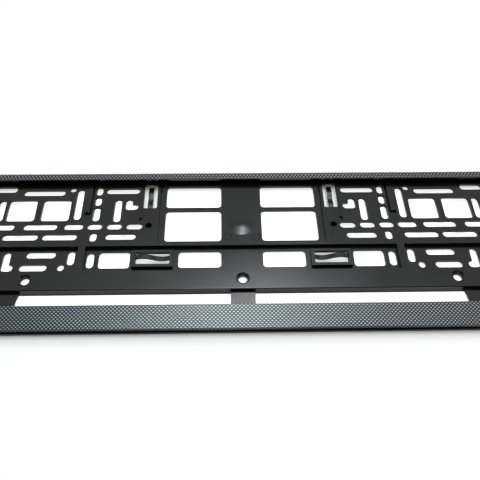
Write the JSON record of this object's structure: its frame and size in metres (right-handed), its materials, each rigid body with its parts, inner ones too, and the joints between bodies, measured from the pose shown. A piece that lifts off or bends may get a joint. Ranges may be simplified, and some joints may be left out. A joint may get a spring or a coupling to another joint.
{
  "type": "number plate holder",
  "caption": "Flat moulded frame that carries a car number plate, with a rim, a carbon-look bottom strip, slotted base panel and leaf springs against rattle.",
  "frame": {"origin": "middle of the holder's outline, in the plane of its back edges", "axes": "+X along the plate, +Y up the plate, +Z out of the front face"},
  "size_m": [0.5264, 0.1268, 0.0111],
  "materials": {
    "black_plastic": "satin moulded black plastic, with a carbon-look print on the rim and the strip"
  },
  "bodies": {
    "root": {"holder_body": "black_plastic"}
  },
  "joints": []
}
